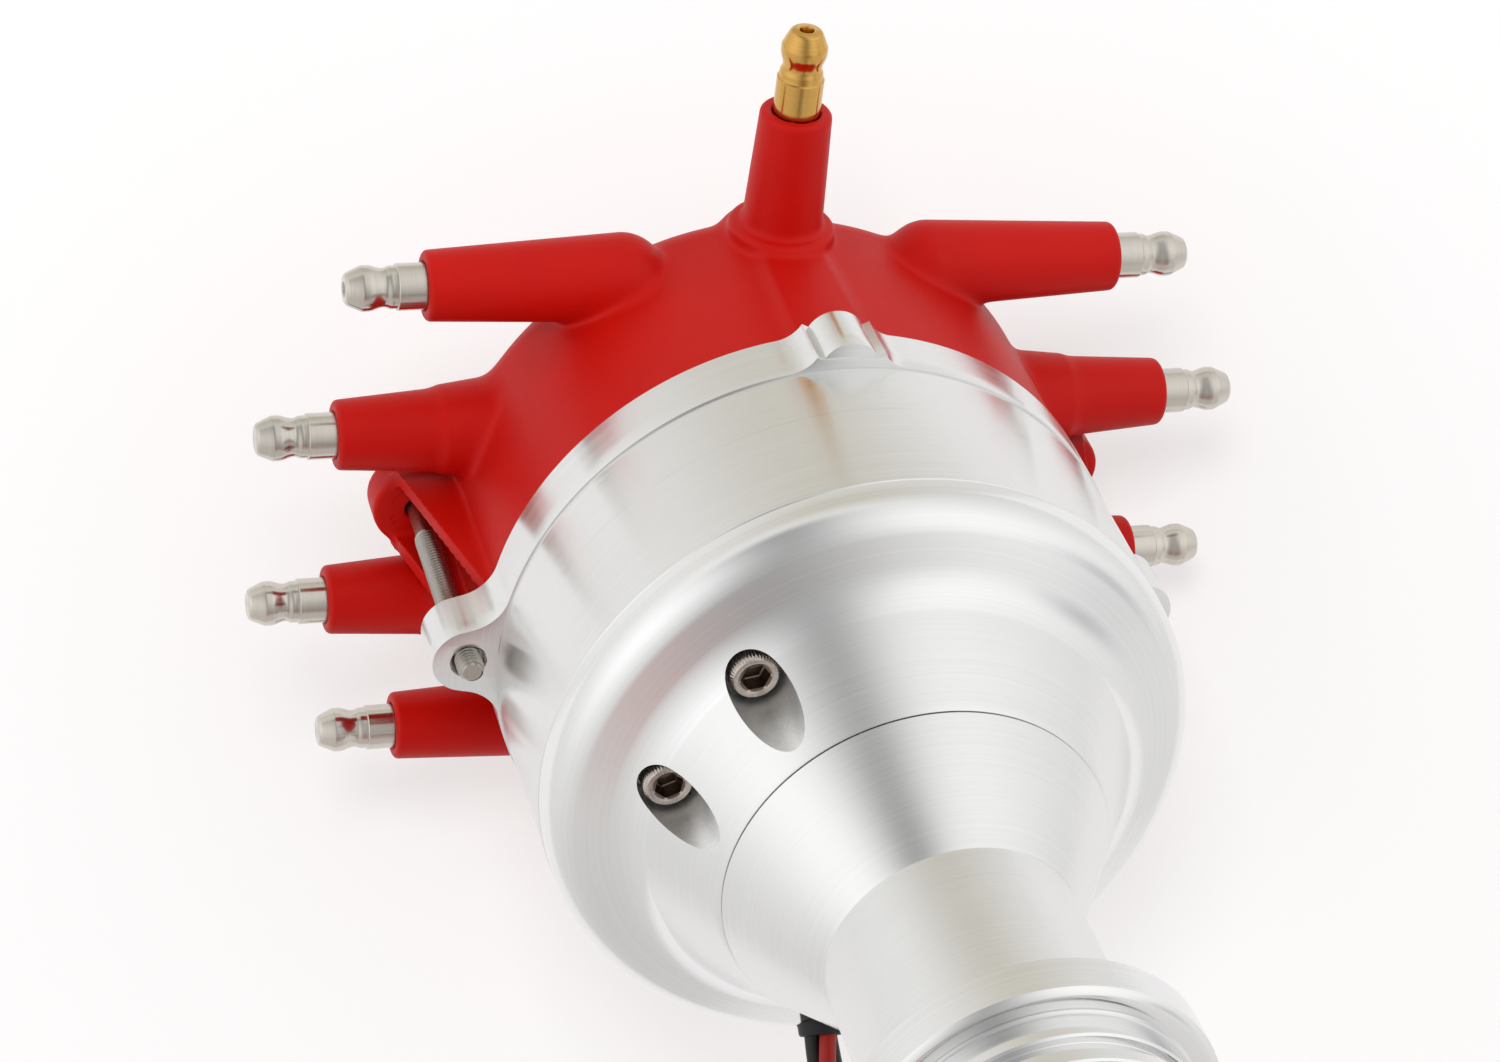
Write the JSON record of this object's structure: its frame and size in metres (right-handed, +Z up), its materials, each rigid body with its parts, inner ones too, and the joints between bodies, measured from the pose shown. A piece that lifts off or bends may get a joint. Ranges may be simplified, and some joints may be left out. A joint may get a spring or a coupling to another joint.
{
  "type": "ignition distributor",
  "caption": "Ignition distributor, red low cap with side-facing plug towers and brass coil terminal, polished aluminium housing, tapered neck, seat collar, helical drive gear and wire lead",
  "frame": {"origin": "on the shaft axis in the plane of the collar's seat face", "axes": "+Z up along the shaft towards the cap, -Y towards the coil tower, +X and -X towards the two rows of plug towers"},
  "size_m": [0.186, 0.1768, 0.29],
  "materials": {
    "polished_aluminium": "polished, lathe-turned and brushed",
    "cap_red": "matt moulded",
    "stainless": "satin turned",
    "brass": "bright turned",
    "black_oxide": "black oxide",
    "carbon": "pressed carbon",
    "bronze": "sintered bronze",
    "steel": "ground steel",
    "bearing_steel": "ground and polished",
    "zinc_plated": "yellow zinc plated",
    "cast_iron_gear": "machined",
    "black_plastic": "matt moulded",
    "nylon": "moulded",
    "spring_steel": "drawn",
    "lead_jacket": "three insulated wires"
  },
  "bodies": {
    "housing": {"bowl_housing": "polished_aluminium", "shank_housing": "polished_aluminium", "bearing_outer_race": "bearing_steel", "lower_bushing": "bronze", "pickup_bracket": "zinc_plated", "pickup_coil": "black_plastic", "pickup_core": "steel", "pickup_screws": "stainless", "ignition_module": "black_plastic", "module_screws": "black_oxide", "cap": "cap_red", "electrode_1": "brass", "electrode_2": "brass", "electrode_3": "brass", "electrode_4": "brass", "electrode_5": "brass", "electrode_6": "brass", "electrode_7": "brass", "electrode_8": "brass", "plug_terminal_1": "stainless", "plug_terminal_2": "stainless", "plug_terminal_3": "stainless", "plug_terminal_4": "stainless", "plug_terminal_5": "stainless", "plug_terminal_6": "stainless", "plug_terminal_7": "stainless", "plug_terminal_8": "stainless", "coil_conductor": "brass", "coil_terminal": "brass", "brush_spring": "spring_steel", "cap_screws": "stainless", "lead_grommet": "black_plastic", "lead": "lead_jacket", "lead_hank": "lead_jacket", "lead_tie": "black_plastic", "lead_plug": "black_plastic"},
    "drive": {"drive_shaft": "steel", "drive_gear": "cast_iron_gear", "gear_pin": "steel", "thrust_washer": "bronze", "shaft_washer": "bronze", "bearing_inner_race": "bearing_steel", "advance_cam": "zinc_plated", "cam_clip": "black_oxide", "stop_bushing": "nylon"},
    "ball_cage": {"bearing_balls": "bearing_steel"},
    "advance": {"advance_base": "zinc_plated", "weight_pivot_pins": "steel", "advance_spring_a": "spring_steel", "advance_spring_b": "spring_steel", "reluctor": "steel", "rotor_body": "cap_red", "rotor_blade": "brass", "rotor_screws": "stainless"},
    "weight_a": {"weight_a": "zinc_plated"},
    "weight_b": {"weight_b": "zinc_plated"},
    "brush": {"carbon_brush": "carbon"}
  },
  "joints": [
    {"name": "shaft_spin", "type": "hinge", "parent": "housing", "child": "drive", "pos_m": [0, 0, 0], "axis": [0, 0, -1], "continuous": true},
    {"name": "cage_spin", "type": "hinge", "parent": "housing", "child": "ball_cage", "pos_m": [0, 0, 0.088], "axis": [0, 0, -1], "continuous": true},
    {"name": "advance_turn", "type": "hinge", "parent": "drive", "child": "advance", "pos_m": [0, 0, 0.118], "axis": [0, 0, -1], "range_deg": [0, 10]},
    {"name": "weight_a_swing", "type": "hinge", "parent": "advance", "child": "weight_a", "pos_m": [0, 0.022, 0.124], "axis": [0, 0, -1], "range_deg": [0, 12]},
    {"name": "weight_b_swing", "type": "hinge", "parent": "advance", "child": "weight_b", "pos_m": [0, -0.022, 0.124], "axis": [0, 0, -1], "range_deg": [0, 12]},
    {"name": "brush_travel", "type": "slide", "parent": "housing", "child": "brush", "axis": [0, 0, 1], "range_m": [0, 0.003], "deforming": ["brush_spring"]}
  ],
  "couplings": [
    {"joint": "cage_spin", "follows": "shaft_spin", "ratio": 0.3925},
    {"joint": "weight_a_swing", "follows": "advance_turn", "ratio": 1.2},
    {"joint": "weight_b_swing", "follows": "advance_turn", "ratio": 1.2}
  ]
}
